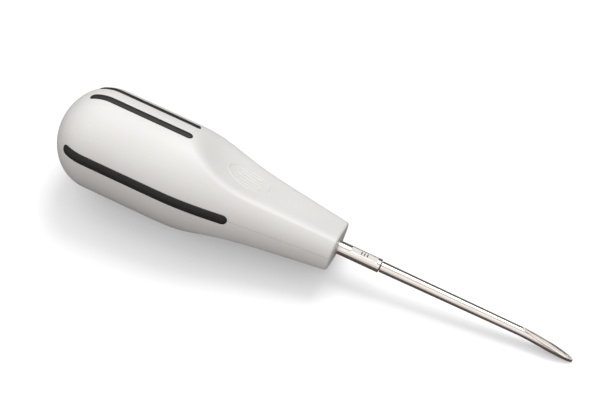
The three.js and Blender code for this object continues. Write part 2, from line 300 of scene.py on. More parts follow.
class ElevatorStage(bpy.types.PropertyGroup):
    """Camera, table and light."""

    azimuth: degrees("Azimuth", "Camera's turn", 24.89)
    elevation: degrees("Elevation", "Camera's height", 58.8)
    distance: length("Distance", "From the camera to what it looks at", 0.416)
    lens: number("Lens", "Focal length in millimetres", 85)
    target: lengths("Target", "What the camera looks at", (-0.0068, 0.00905, 0.012))
    key: FloatProperty(name="Key", description="Power of the softbox behind", default=2.4, unit="POWER")
    key_place: lengths("Key place", "Where the softbox hangs", (0.0, 0.37, 0.61))
    key_size: lengths("Key size", "Width and height of the softbox", (0.34, 0.28))
    key_colour: colour("Key colour", "Colour of the softbox", (1.0, 0.985, 0.965))
    dome: number("Dome", "Strength of the light tent", 1.25)
    table_half: length("Table half", "Half of the table's width", 1.2)
    table_glow: number("Table glow", "Light that the table gives off, so that it looks evenly lit", 0.2)
    card_gap: length("Card gap", "From the table down to the dark card", 1 * MM)


# ---------------------------------------------------------------- mesh helpers


def finished_piece(name, points, faces, material, sharp_angle):
    """A closed piece from points in the instrument's axes, laid down in the row frame."""
    mesh = bpy.data.meshes.new(name)
    mesh.from_pydata([tuple(point) for point in points], [], faces)
    mesh.validate()
    return lay_down(name, mesh, material, sharp_angle)


def lay_down(name, mesh, material, sharp_angle):
    """Lays a mesh down from the instrument's axes, keeps its place in them as an attribute, and adds it."""
    places = np.zeros(len(mesh.vertices) * 3, np.float32)
    mesh.vertices.foreach_get("co", places)
    attribute = mesh.attributes.new(LOCAL, "FLOAT_VECTOR", "POINT")
    attribute.data.foreach_set("vector", places)
    mesh.transform(LAY)
    mesh.materials.clear()
    mesh.materials.append(material)
    mesh.shade_smooth()
    mesh.set_sharp_from_angle(angle=math.radians(sharp_angle))
    piece = bpy.data.objects.new(name, mesh)
    bpy.context.scene.collection.objects.link(piece)
    return piece


def grid_faces(rows, columns, first=0, closed=False):
    """Quads between rows of points. A closed grid joins each row's end to its start."""
    faces = []
    last = columns if closed else columns - 1
    for row in range(rows - 1):
        for column in range(last):
            following = (column + 1) % columns
            a = first + row * columns + column
            b = first + row * columns + following
            faces.append((a, b, b + columns, a + columns))
    return faces


def fan(centre, loop, outwards=True):
    """Triangles from a centre point to a closed ring of points."""
    count = len(loop)
    faces = [(centre, loop[i], loop[(i + 1) % count]) for i in range(count)]
    return faces if outwards else [face[::-1] for face in faces]


def steps_between(low, high, coarse, spots=()):
    """Even steps from low to high, finer round each spot, given as (start, end, step)."""
    marks = list(np.linspace(low, high, max(2, int(round((high - low) / coarse)) + 1)))
    for start, end, step in spots:
        start, end = max(start, low), min(end, high)
        inside = [mark for mark in marks if start < mark < end]
        marks = [mark for mark in marks if mark not in inside]
        marks += list(np.linspace(start, end, max(2, int(round((end - start) / step)) + 1)))
    marks = sorted(marks)
    kept = [marks[0]]
    for mark in marks[1:]:
        if mark - kept[-1] > 0.2 * min([coarse] + [step for _, _, step in spots]):
            kept.append(mark)
    return np.array(kept)


def soft_min(a, b, softness):
    """The smaller of a and b, with the corner between them rounded off."""
    share = np.clip(0.5 + 0.5 * (b - a) / softness, 0, 1)
    return b * (1 - share) + a * share - softness * share * (1 - share)


def round_over(distance, radius):
    """How far a rounded edge of that radius has dropped, at a distance in from the edge."""
    reach = np.clip(radius - distance, 0, radius)
    return radius - np.sqrt(radius * radius - reach * reach)


def stadium(x, y, start, end, width):
    """Signed distance to a slot with round ends along x, below zero inside it."""
    radius = width / 2
    middle = np.clip(x, start + radius, end - radius)
    return np.hypot(x - middle, y) - radius


# ---------------------------------------------------------------- shape of the handle


def bezier(points, t):
    """Points of a Bezier curve of any order at the values t."""
    order = len(points) - 1
    total = np.zeros((len(t), 2))
    for i, point in enumerate(points):
        weight = math.comb(order, i) * (1 - t) ** (order - i) * t**i
        total += weight[:, None] * np.array(point)
    return total


class Outline:
    """The handle's outline from the rear pole to the neck, by distance along it."""

    def __init__(self, handle):
        t = np.linspace(0, 1, 240)
        turn = math.pi / 2 * (1 - t)
        rear = np.stack([handle.rear_depth * (1 - np.sin(turn)), handle.bulb_radius * np.cos(turn)], 1)
        barrel = bezier([(handle.rear_depth, handle.bulb_radius), (handle.barrel_end, handle.bulb_radius)], t)
        shoulder_end = (handle.shoulder_end, handle.shoulder_radius)
        barrel_end = (handle.barrel_end, handle.bulb_radius)
        held_on = (handle.barrel_end + handle.shoulder_run, handle.bulb_radius)
        shoulder = bezier([barrel_end, held_on, handle.shoulder_pull, shoulder_end], t)
        neck = bezier([shoulder_end, handle.neck_pull, (handle.length, handle.neck_radius)], t)
        points = np.concatenate([rear, barrel[1:], shoulder[1:], neck[1:]])
        self.x, self.radius = points.T
        moved = np.hypot(np.diff(self.x), np.diff(self.radius))
        self.along = np.concatenate([[0], np.cumsum(moved)])

    def place(self, along):
        return np.interp(along, self.along, self.x), np.interp(along, self.along, self.radius)

    def along_at(self, x):
        return float(np.interp(x, self.x, self.along))

    def radius_at(self, x):
        return np.interp(x, self.x, self.radius)


def rest_floor(handle, x):
    """Height of a thumb rest's floor above the axis at x. It climbs out of the handle behind its start."""
    back_slope = 0.6
    t = np.linspace(0, 1, 200)
    start = (handle.rest_start, handle.rest_start_height)
    ease = (handle.rest_ease, handle.rest_ease_height)
    curve = bezier([start, handle.rest_first_pull, handle.rest_second_pull, ease], t)
    slope = (handle.rest_neck_height - handle.rest_ease_height) / (handle.length - handle.rest_ease)
    front = handle.rest_ease_height + slope * (x - handle.rest_ease)
    behind = handle.rest_start_height + back_slope * (handle.rest_start - x)
    floor = np.interp(x, curve[:, 0], curve[:, 1])
    return np.where(x < handle.rest_start, behind, np.where(x > handle.rest_ease, front, floor))


def blank_radius(handle, outline, x, turn):
    """Radius of the plain handle, with its thumb rests, at x and an angle from the upper rest's middle."""
    radius = outline.radius_at(x)
    facing = np.maximum(np.abs(np.cos(turn)), 0.05)
    floor = rest_floor(handle, x)
    hollow_start, deepening = handle.rest_start + 3 * MM, 8 * MM
    hollow_end, running_out = handle.rest_ease + 4 * MM, 12 * MM
    hollow = np.clip((x - hollow_start) / deepening, 0, 1) * np.clip((hollow_end - x) / running_out, 0, 1)
    half_width = np.sqrt(np.maximum(radius**2 - np.minimum(floor, radius) ** 2, 1e-12))
    across = np.clip(1 - (radius * np.sin(turn) / np.maximum(half_width, 1 * MM)) ** 2, 0, 1)
    smooth_hollow = hollow * hollow * (3 - 2 * hollow)
    floor = floor - handle.rest_dish * smooth_hollow * across
    return soft_min(radius, floor / facing, handle.rest_edge)


def groove_drop(handle, strips, x, turn, radius):
    """How far the shell's surface drops for the grooves and the rounded parting edges."""
    y = radius * np.sin(turn)
    z = radius * np.cos(turn)
    pair = stadium(x, np.abs(y) - strips.pair_offset, strips.pair_start, strips.pair_end, strips.pair_width)
    side = stadium(x, z, strips.side_start, strips.side_end, strips.side_width)
    edge = np.where(np.abs(z) > np.abs(y), pair, side)
    drop = round_over(np.maximum(edge, 0), strips.lip)
    wall = np.clip(-edge / (0.05 * MM), 0, 1)
    drop = drop + wall * (strips.groove_depth - strips.lip)
    parting = round_over(np.abs(z), handle.parting_round)
    return np.maximum(drop, np.where(edge > 0, parting, 0))


def turn_lines(strips, radius):
    """Angles of the lines along half a shell at one radius, laid so that they follow the grooves' edges."""
    reach = max(radius, 9 * MM)
    lip_steps = np.array([-0.12, -0.05, 0, 0.02, 0.06, 0.11, 0.17, 0.23, 0.33]) * MM
    low_edge = strips.pair_offset - strips.pair_width / 2
    high_edge = strips.pair_offset + strips.pair_width / 2
    lateral = np.concatenate(
        [
            np.arange(0, low_edge - 0.4 * MM, 0.4 * MM),
            low_edge - lip_steps[::-1],
            np.arange(low_edge + 0.3 * MM, high_edge - 0.25 * MM, 0.22 * MM),
            high_edge + lip_steps,
            [high_edge + 0.6 * MM],
        ]
    )
    side_edge = strips.side_width / 2
    rise = np.concatenate(
        [
            [side_edge + 0.6 * MM],
            (side_edge + lip_steps)[::-1],
            np.arange(side_edge - 0.3 * MM, 0.35 * MM, -0.22 * MM),
            np.array([0.25, 0.17, 0.12, 0.08, 0.045, 0.02, 0]) * MM,
        ]
    )
    first = np.arcsin(lateral / reach)
    last = np.arccos(rise / reach)
    between = np.linspace(first[-1], last[0], 42)[1:-1]
    half = np.concatenate([first, between, last])
    return np.concatenate([-half[:0:-1], half])


def shell_rows(handle, strips):
    """The upper shell as rows of points across it, from the outer pole round to the inner pole."""
    coarse, fine, rim_round = 0.5 * MM, 0.13 * MM, 0.12 * MM
    outline = Outline(handle)
    ends = [strips.pair_start, strips.pair_end - 1.6 * MM, strips.side_start, strips.side_end - 2 * MM]
    spots = [(outline.along_at(x - 0.3 * MM), outline.along_at(x + 2.1 * MM), fine) for x in ends]
    rim_start = outline.along_at(handle.length - handle.neck_rim)
    rows = []
    for along in steps_between(coarse / 2, rim_start, coarse, spots):
        x, radius = outline.place(along)
        turn = turn_lines(strips, radius)
        base = blank_radius(handle, outline, np.full_like(turn, x), turn)
        drop = groove_drop(handle, strips, np.full_like(turn, x), turn, base)
        rows.append(ring(x, base - drop, turn))
    rim_x = handle.length - handle.neck_rim
    rim_base = blank_radius(handle, outline, np.full_like(turn, rim_x), turn)
    rim_drop = groove_drop(handle, strips, np.full_like(turn, rim_x), turn, rim_base)
    for angle in np.linspace(0, math.pi / 2, 9)[1:]:
        x = rim_x + handle.neck_rim * math.sin(angle)
        rows.append(ring(x, rim_base - rim_drop - handle.neck_rim * (1 - math.cos(angle)), turn))
    face = rim_base - handle.neck_rim
    hole = bpy.context.scene.elevator_steel.collar_radius + SKIN_GAP
    for share in (0.33, 0.66):
        rows.append(ring(handle.length, face * (1 - share) + hole * share, turn))
    rows.append(ring(handle.length, hole + rim_round, turn))
    rows.append(ring(handle.length - rim_round, hole, turn))
    front_inside = handle.length - handle.front_wall
    rows.append(ring(front_inside, hole, turn))
    for x in np.linspace(front_inside, handle.wall + 0.4 * MM, 60):
        base = blank_radius(handle, outline, np.full_like(turn, x), turn)
        inner = base - handle.wall
        cap = handle.rear_depth - x
        if cap > 0:
            round_share = math.sqrt(max(0.0, 1 - (cap / (handle.rear_depth - handle.wall)) ** 2))
            inner = np.minimum(inner, (handle.bulb_radius - handle.wall) * round_share)
        rows.append(ring(x, inner, turn))
    return rows, (0.0, handle.wall)


def ring(x, radius, turn):
    """Points at x, at a radius for each angle from the z axis."""
    radius = radius + 0 * turn
    return np.stack([np.full_like(turn, x), radius * np.sin(turn), radius * np.cos(turn)], 1)


def shell_mesh(handle, strips, half_turn):
    """Points and faces of one shell. The lower shell is the upper one turned half round."""
    rows, poles = shell_rows(handle, strips)
    columns = len(rows[0])
    points = np.concatenate(rows + [np.array([[poles[0], 0, 0], [poles[1], 0, 0]])])
    points[:, 2] = np.maximum(points[:, 2], handle.parting / 2)
    count = len(rows)
    outer_pole = count * columns
    inner_pole = outer_pole + 1
    faces = grid_faces(count, columns)
    last = (count - 1) * columns
    for column in range(columns - 1):
        faces.append((outer_pole, column + 1, column))
        faces.append((inner_pole, last + column, last + column + 1))
    for column, outwards in ((0, False), (columns - 1, True)):
        loop = [outer_pole] + [row * columns + column for row in range(count)] + [inner_pole]
        faces.append(tuple(loop if outwards else loop[::-1]))
    if half_turn:
        points = points * np.array([1, -1, -1])
    return points, faces


# ---------------------------------------------------------------- steel parts


def collar_mesh(steel):
    """The collar: a sleeve with a ground flat on its upper side and a bore for the tang."""
    rear_chamfer, bore_chamfer, run_out_round = 0.2 * MM, 0.04 * MM, 0.12 * MM
    turn = np.linspace(0, 2 * math.pi, 96, endpoint=False)
    start, end = COLLAR_BOX[0][0], COLLAR_BOX[1][0]
    flat_spots = [(x - 0.15 * MM, x + 0.15 * MM, 0.05 * MM) for x in (steel.flat_start, steel.flat_end)]
    rows = [ring(start, steel.collar_radius - rear_chamfer, turn)]
    for x in steps_between(start + rear_chamfer, end - steel.collar_rim, 0.5 * MM, flat_spots):
        radius = np.full_like(turn, steel.collar_radius)
        inside = min(x - steel.flat_start, steel.flat_end - x)
        if inside > 0:
            run_out = steel.flat_height + round_over(np.array(inside), run_out_round)
            radius = np.minimum(radius, run_out / np.maximum(np.cos(turn + steel.flat_turn), 0.05))
        rows.append(ring(x, radius, turn))
    for angle in np.linspace(0, math.pi / 2, 6)[1:]:
        x = end - steel.collar_rim + steel.collar_rim * math.sin(angle)
        rows.append(ring(x, steel.collar_radius - steel.collar_rim * (1 - math.cos(angle)), turn))
    bore = steel.tang_radius + 0.02 * MM
    rows.append(ring(end, bore + bore_chamfer, turn))
    rows.append(ring(end - bore_chamfer, bore, turn))
    rows.append(ring(start, bore, turn))
    points = np.concatenate(rows)
    count, columns = len(rows), len(turn)
    faces = grid_faces(count, columns, closed=True)
    last = (count - 1) * columns
    for column in range(columns):
        following = (column + 1) % columns
        faces.append((last + column, last + following, following, column))
    return points, faces


def blade_section(steel, x, columns):
    """One ring of the shaft or blade at x: the round back from rim to rim, then the face and gutter back."""
    least_opening = math.radians(35)
    along = max(0.0, x - steel.blade_start)
    drop = steel.bend * along * along
    share = min(1.0, along / (steel.swell_share * (steel.blade_end - steel.blade_start)))
    swell = share * share * (3 - 2 * share)
    taper = np.clip((x - steel.shaft_start) / (steel.blade_start - steel.shaft_start), 0, 1)
    radius = steel.shaft_radius + (steel.shaft_end_radius - steel.shaft_radius) * taper
    radius += (steel.blade_radius - steel.shaft_end_radius) * swell
    face = steel.shaft_end_radius + 0.02 * MM - math.tan(steel.face_angle) * (x - steel.face_start)
    height = face + drop
    to_tip = np.clip((x - steel.blade_end) / steel.tip_length + 1, 0, 1)
    narrow = max(math.sqrt(1 - to_tip**2), steel.tip_bluntness)
    depth = radius * narrow**steel.tip_rise
    rim = math.acos(max(-1.0, min(1.0, -height / depth))) if x > steel.face_start else math.pi
    rim = min(rim, math.pi - least_opening)
    full_half = steel.blade_radius * narrow * math.sin(min(rim, math.pi / 2))
    back_count = columns // 2
    angles = np.linspace(rim, -rim, back_count)
    back = np.stack([radius * narrow * np.sin(angles), -depth * np.cos(angles) - drop], 1)
    half = radius * narrow * math.sin(rim)
    across = np.linspace(-half, half, columns - back_count + 2)[1:-1]
    arch = depth * np.sqrt(np.maximum(1 - (across / (radius * narrow)) ** 2, 0))
    top = arch - drop
    if x > steel.face_start:
        top = np.minimum(top, face)
        nose = np.clip((x - steel.face_start - steel.gutter_setback) / steel.gutter_nose, 0, 1)
        growth = math.sqrt(1 - (1 - nose) ** 2)
        gutter = max((full_half - steel.gutter_edge * narrow) * growth, 1e-6)
        power = steel.gutter_power
        curve = np.maximum(1 - np.abs(across / gutter) ** power, 0) ** (1 / power)
        floor = face - steel.gutter_depth * narrow**steel.tip_rise * growth * curve
        top = np.where(np.abs(across) < gutter, np.minimum(top, floor), top)
        top = np.maximum(top, steel.thinnest - arch - drop)
    section = np.concatenate([back, np.stack([across, top], 1)])
    return np.concatenate([np.full((len(section), 1), x), section], 1)


def shank_mesh(steel):
    """The shank as one closed skin: tang, shoulder, tapered shaft, and the bent gouge blade."""
    columns, chamfer = 120, 0.12 * MM
    tang_start = SHANK_BOX[0][0]
    shaft_x = steps_between(steel.shaft_start + chamfer, steel.face_start - 0.4 * MM, 1.5 * MM)
    blade_x = steps_between(steel.face_start - 0.2 * MM, steel.blade_end - steel.tip_length, 0.16 * MM)
    tip_turn = np.linspace(0, math.pi / 2, 34)[1:-1]
    tip_x = steel.blade_end - steel.tip_length * (1 - np.sin(tip_turn))
    rows = [blade_section(steel, x, columns) for x in np.concatenate([shaft_x, blade_x, tip_x])]
    shoulder = rows[0]
    scaled = []
    for x, radius in (
        (tang_start, steel.tang_radius),
        (steel.shaft_start, steel.tang_radius),
        (steel.shaft_start, steel.shaft_radius - chamfer),
    ):
        scale = radius / np.hypot(shoulder[:, 1], shoulder[:, 2])
        section = shoulder * np.stack([0 * scale, scale, scale], 1)
        section[:, 0] = x
        scaled.append(section)
    rows = scaled + rows
    count = len(rows)
    end = rows[-1].mean(0) + np.array([0.02 * MM, 0, 0])
    points = np.concatenate(rows + [np.array([[tang_start, 0, 0]]), end[None]])
    faces = grid_faces(count, columns, closed=True)
    faces += fan(count * columns, range(columns), outwards=False)
    faces += fan(count * columns + 1, range((count - 1) * columns, count * columns))
    return points, faces


# ---------------------------------------------------------------- geometry node trees


class Tree:
    """A geometry node tree being built: adds nodes and joins them by name."""

    def __init__(self, name):
        self.group = bpy.data.node_groups.new(name, "GeometryNodeTree")
        self.group.interface.new_socket("Geometry", in_out="OUTPUT", socket_type="NodeSocketGeometry")
        self.inputs = {}
        self.source = self.group.nodes.new("NodeGroupInput")
        self.result = self.group.nodes.new("NodeGroupOutput")

    def input(self, name, kind, description):
        socket = self.group.interface.new_socket(
            name, in_out="INPUT", socket_type=kind, description=description
        )
        self.inputs[name] = socket.identifier
        return next(output for output in self.source.outputs if output.identifier == socket.identifier)

    def node(self, kind, settings=None, **values):
        node = self.group.nodes.new(kind)
        for key, value in (settings or {}).items():
            setattr(node, key, value)
        for key, value in values.items():
            self.feed(node.inputs[key.replace("_", " ")], value)
        return node

    def feed(self, socket, value):
        if isinstance(value, bpy.types.NodeSocket):
            self.group.links.new(value, socket)
        else:
            socket.default_value = value

    def maths(self, operation, first, second=0.0, third=0.0):
        node = self.group.nodes.new("ShaderNodeMath")
        node.operation = operation
        for socket, value in zip(node.inputs, (first, second, third)):
            self.feed(socket, value)
        return node.outputs[0]

    def vector(self, operation, first, second=None, scale=None):
        node = self.group.nodes.new("ShaderNodeVectorMath")
        node.operation = operation
        self.feed(node.inputs[0], first)
        if second is not None:
            self.feed(node.inputs[1], second)
        if scale is not None:
            self.feed(node.inputs["Scale"], scale)
        return node.outputs[0]

    def combine(self, x=0.0, y=0.0, z=0.0):
        return self.node("ShaderNodeCombineXYZ", X=x, Y=y, Z=z).outputs[0]

    def split(self, vector):
        return self.node("ShaderNodeSeparateXYZ", Vector=vector).outputs

    def finish(self, geometry, material):
        realized = self.node("GeometryNodeRealizeInstances", Geometry=geometry)
        painted = self.node("GeometryNodeSetMaterial", Geometry=realized.outputs[0], Material=material)
        self.group.links.new(painted.outputs[0], self.result.inputs[0])
        return self.group


def curved(tree, value, power):
    """A value from -1 to 1 pushed outwards by a power below 1, with its sign kept."""
    size = tree.maths("POWER", tree.maths("ABSOLUTE", value), power)
    return tree.maths("MULTIPLY", tree.maths("SIGN", value), size)


def turned_about_x(tree, vector, turn):
    """A vector turned about the x axis by an angle."""
    rotated = tree.group.nodes.new("ShaderNodeVectorRotate")
    rotated.rotation_type = "X_AXIS"
    tree.feed(rotated.inputs["Vector"], vector)
    tree.feed(rotated.inputs["Angle"], turn)
    return rotated.outputs[0]


def laid_on_body(tree, place, turn, body, lift):
    """Drops a point that lies in x and y onto a body along z, all turned about x, and lifts it again."""
    high = tree.combine(tree.split(place)[0], tree.split(place)[1], RAY_HEIGHT)
    info = tree.node("GeometryNodeObjectInfo", {"transform_space": "ORIGINAL"}, Object=body)
    cast = tree.node(
        "GeometryNodeRaycast",
        Target_Geometry=info.outputs["Geometry"],
        Source_Position=turned_about_x(tree, high, turn),
        Ray_Direction=turned_about_x(tree, (0.0, 0.0, -1.0), turn),
        Ray_Length=RAY_LENGTH,
    )
    up = turned_about_x(tree, (0.0, 0.0, 1.0), turn)
    return tree.vector("ADD", cast.outputs["Hit Position"], tree.vector("SCALE", up, scale=lift))


def strip_tree():
    """Makes one grip strip: a slot-shaped sheet laid onto the handle, then thickened, domed and rounded."""
    tree = Tree("grip_strip")
    start = tree.input("Start", "NodeSocketFloat", "Rear end along the handle")
    end = tree.input("End", "NodeSocketFloat", "Front end along the handle")
    width = tree.input("Width", "NodeSocketFloat", "Width of the strip")
    offset = tree.input("Offset", "NodeSocketFloat", "Distance from the centre line")
    turn = tree.input("Turn", "NodeSocketFloat", "Side of the handle, as an angle about its axis")
    depth = tree.input("Depth", "NodeSocketFloat", "Thickness of the strip")
    stand = tree.input("Stand", "NodeSocketFloat", "How far the top stands above the handle's surface")
    crown = tree.input("Crown", "NodeSocketFloat", "Doming of the top")
    edge = tree.input("Edge", "NodeSocketFloat", "Rounding of the top's edge")
    body = tree.input("Body", "NodeSocketObject", "The plain handle to lie on")
    material = tree.input("Material", "NodeSocketMaterial", "Finish of the strip")

    even_share, end_share, weld = 0.45, 0.995, 0.002 * MM
    sheet = tree.node("GeometryNodeMeshGrid", Size_X=2.0, Size_Y=2.0, Vertices_X=241, Vertices_Y=17)
    unit = tree.split(tree.node("GeometryNodeInputPosition").outputs[0])
    radius = tree.maths("MULTIPLY", width, 0.5)
    half_length = tree.maths("MULTIPLY", tree.maths("SUBTRACT", end, start), 0.5)
    middle = tree.maths("MULTIPLY", tree.maths("ADD", end, start), 0.5)
    spread = tree.maths("SINE", tree.maths("MULTIPLY", unit[0], math.pi / 2))
    even = tree.maths("MULTIPLY", unit[0], even_share)
    along = tree.maths("MULTIPLY", tree.maths("MULTIPLY_ADD", spread, 1 - even_share, even), half_length)
    straight = tree.maths("SUBTRACT", half_length, radius)
    beyond = tree.maths("MAXIMUM", tree.maths("SUBTRACT", tree.maths("ABSOLUTE", along), straight), 0.0)
    beyond = tree.maths("MINIMUM", beyond, tree.maths("MULTIPLY", radius, end_share))
    squares = tree.maths("SUBTRACT", tree.maths("POWER", radius, 2.0), tree.maths("POWER", beyond, 2.0))
    half_width = tree.maths("SQRT", squares)
    spread_y = tree.maths("SINE", tree.maths("MULTIPLY", unit[1], math.pi / 2))
    lateral = tree.maths("MULTIPLY", spread_y, half_width)
    offset_squares = tree.maths("ADD", tree.maths("POWER", beyond, 2.0), tree.maths("POWER", lateral, 2.0))
    inset_side = tree.maths("SUBTRACT", radius, tree.maths("SQRT", offset_squares))

    keep = tree.node(
        "GeometryNodeStoreNamedAttribute",
        {"data_type": "FLOAT", "domain": "POINT"},
        Geometry=sheet.outputs["Mesh"],
        Name="inset",
        Value=tree.maths("MAXIMUM", inset_side, 0.0),
    )
    place = tree.combine(tree.maths("ADD", middle, along), tree.maths("ADD", lateral, offset), 0.0)
    bottom = tree.maths("SUBTRACT", stand, depth)
    laid = tree.node(
        "GeometryNodeSetPosition",
        Geometry=keep.outputs["Geometry"],
        Position=laid_on_body(tree, place, turn, body, bottom),
    )
    under = tree.node("GeometryNodeFlipFaces", Mesh=laid.outputs["Geometry"])
    up = turned_about_x(tree, (0.0, 0.0, 1.0), turn)
    raised = tree.node(
        "GeometryNodeExtrudeMesh",
        {"mode": "FACES"},
        Mesh=laid.outputs["Geometry"],
        Offset=up,
        Offset_Scale=depth,
        Individual=False,
    )
    stored = tree.node("GeometryNodeInputNamedAttribute", {"data_type": "FLOAT"}, Name="inset")
    inset = stored.outputs["Attribute"]
    shy = tree.maths("MAXIMUM", tree.maths("SUBTRACT", edge, inset), 0.0)
    edge_squares = tree.maths("SUBTRACT", tree.maths("POWER", edge, 2.0), tree.maths("POWER", shy, 2.0))
    rounding = tree.maths("SUBTRACT", edge, tree.maths("SQRT", edge_squares))
    centre_share = tree.maths("DIVIDE", inset, radius)
    dome = tree.maths("MULTIPLY", tree.maths("SMOOTH_MIN", centre_share, 1.0, 0.3), crown)
    shift = tree.vector("SCALE", up, scale=tree.maths("SUBTRACT", dome, rounding))
    shaped = tree.node(
        "GeometryNodeSetPosition",
        Geometry=raised.outputs["Mesh"],
        Selection=raised.outputs["Top"],
        Offset=shift,
    )
    joined = tree.group.nodes.new("GeometryNodeJoinGeometry")
    tree.group.links.new(shaped.outputs["Geometry"], joined.inputs[0])
    tree.group.links.new(under.outputs["Mesh"], joined.inputs[0])
    welded = tree.node("GeometryNodeMergeByDistance", Geometry=joined.outputs[0], Distance=weld)
    return tree.finish(welded.outputs["Geometry"], material), tree.inputs


def bars_tree():
    """Makes a row of equal bars with rounded ends."""
    tree = Tree("bar_row")
    count = tree.input("Count", "NodeSocketInt", "How many bars")
    pitch = tree.input("Pitch", "NodeSocketVector", "Step from one bar to the next")
    first = tree.input("First", "NodeSocketVector", "Middle of the first bar")
    size = tree.input("Size", "NodeSocketVector", "Size of a bar along x, y and z")
    turn = tree.input("Turn", "NodeSocketFloat", "Turn of the whole row about the x axis")
    material = tree.input("Material", "NodeSocketMaterial", "Finish of the bars")
    row = tree.node(
        "GeometryNodeMeshLine", {"mode": "OFFSET"}, Count=count, Start_Location=first, Offset=pitch
    )
    ball = tree.node("GeometryNodeMeshUVSphere", Segments=20, Rings=10, Radius=0.5)
    point = tree.split(tree.node("GeometryNodeInputPosition").outputs[0])
    along = tree.maths("MULTIPLY", curved(tree, tree.maths("MULTIPLY", point[0], 2.0), 0.35), 0.5)
    across = tree.maths("MULTIPLY", curved(tree, tree.maths("MULTIPLY", point[1], 2.0), 0.5), 0.5)
    boxed = tree.vector("MULTIPLY", tree.combine(along, across, point[2]), size)
    bar = tree.node("GeometryNodeSetPosition", Geometry=ball.outputs["Mesh"], Position=boxed)
    bars = tree.node("GeometryNodeInstanceOnPoints", Points=row.outputs[0], Instance=bar.outputs[0])
    about_x = tree.combine(turn, 0.0, 0.0)
    turned = tree.node("GeometryNodeTransform", Geometry=bars.outputs[0], Rotation=about_x)
    return tree.finish(turned.outputs[0], material), tree.inputs


def motif_tree():
    """Makes the low relief in a thumb rest: an oval ring with a row of ribs across it."""
    tree = Tree("oval_relief")
    centre = tree.input("Centre", "NodeSocketVector", "Middle of the oval in plan")
    size = tree.input("Size", "NodeSocketVector", "Half length and half width of the oval")
    count = tree.input("Ribs", "NodeSocketInt", "How many ribs")
    reach = tree.input("Reach", "NodeSocketFloat", "Share of the oval that the ribs fill")
    bead = tree.input("Bead", "NodeSocketFloat", "Radius of the bead that the relief is drawn with")
    sink = tree.input("Sink", "NodeSocketFloat", "How far the bead's middle lies below the floor")
    turn = tree.input("Turn", "NodeSocketFloat", "Side of the handle, as an angle about its axis")
    body = tree.input("Body", "NodeSocketObject", "The plain handle to lie on")
    material = tree.input("Material", "NodeSocketMaterial", "Finish of the relief")

    oval = tree.node("GeometryNodeCurvePrimitiveCircle", Resolution=128, Radius=1.0)
    line = tree.node("GeometryNodeCurvePrimitiveLine", Start=(-1.0, 0.0, 0.0), End=(1.0, 0.0, 0.0))
    fine = tree.node("GeometryNodeResampleCurve", Curve=line.outputs[0], Count=32)
    pitch = tree.maths("DIVIDE", tree.maths("MULTIPLY", reach, 2.0), tree.maths("SUBTRACT", count, 1.0))
    start = tree.combine(0.0, tree.maths("MULTIPLY", reach, -1.0), 0.0)
    step = tree.combine(0.0, pitch, 0.0)
    spots = tree.node(
        "GeometryNodeMeshLine", {"mode": "OFFSET"}, Count=count, Start_Location=start, Offset=step
    )
    row = tree.node("GeometryNodeInstanceOnPoints", Points=spots.outputs[0], Instance=fine.outputs[0])
    ribs = tree.node("GeometryNodeRealizeInstances", Geometry=row.outputs[0])
    place = tree.split(tree.node("GeometryNodeInputPosition").outputs[0])
    chord = tree.maths("SQRT", tree.maths("SUBTRACT", 1.0, tree.maths("POWER", place[1], 2.0)))
    length_share = tree.maths("MULTIPLY", chord, reach)
    trimmed = tree.node(
        "GeometryNodeSetPosition",
        Geometry=ribs.outputs[0],
        Position=tree.combine(tree.maths("MULTIPLY", place[0], length_share), place[1], 0.0),
    )
    joined = tree.group.nodes.new("GeometryNodeJoinGeometry")
    tree.group.links.new(trimmed.outputs["Geometry"], joined.inputs[0])
    tree.group.links.new(oval.outputs[0], joined.inputs[0])
    unit_place = tree.node("GeometryNodeInputPosition").outputs[0]
    spread = tree.vector("ADD", tree.vector("MULTIPLY", unit_place, size), centre)
    laid = tree.node(
        "GeometryNodeSetPosition",
        Geometry=joined.outputs[0],
        Position=laid_on_body(tree, spread, turn, body, tree.maths("MULTIPLY", sink, -1.0)),
    )
    section = tree.node("GeometryNodeCurvePrimitiveCircle", Resolution=14, Radius=bead)
    relief = tree.node(
        "GeometryNodeCurveToMesh",
        Curve=laid.outputs["Geometry"],
        Profile_Curve=section.outputs[0],
        Fill_Caps=True,
    )
    return tree.finish(relief.outputs[0], material), tree.inputs


def baked(name, group, inputs, values):
    """Runs a geometry node tree with these inputs and returns the result as a plain mesh."""
    holder = bpy.data.objects.new(name + "_maker", bpy.data.meshes.new(name + "_maker"))
    bpy.context.scene.collection.objects.link(holder)
    modifier = holder.modifiers.new("maker", "NODES")
    modifier.node_group = group
    for key, value in values.items():
        modifier[inputs[key]] = value
    bpy.context.view_layer.update()
    evaluated = holder.evaluated_get(bpy.context.evaluated_depsgraph_get())
    mesh = bpy.data.meshes.new_from_object(evaluated)
    holder.modifiers.remove(modifier)
    bpy.data.objects.remove(holder)
    if not mesh.polygons:
        raise RuntimeError(f"{name} came out of its nodes with no faces")
    mesh.name = name
    return mesh


def handle_blank(handle):
    """The plain handle without grooves, for pieces to be laid on. It is removed afterwards."""
    outline = Outline(handle)
    turn = np.linspace(0, 2 * math.pi, 180, endpoint=False)
    rows = []
    for along in np.linspace(0.3 * MM, outline.along[-1], 220):
        x, _ = outline.place(along)
        rows.append(ring(x, blank_radius(handle, outline, np.full_like(turn, x), turn), turn))
    mesh = bpy.data.meshes.new("handle_blank")
    faces = grid_faces(len(rows), len(turn), closed=True)
    mesh.from_pydata([tuple(point) for point in np.concatenate(rows)], [], faces)
    blank = bpy.data.objects.new("handle_blank", mesh)
    bpy.context.scene.collection.objects.link(blank)
    return blank


# ---------------------------------------------------------------- finishes


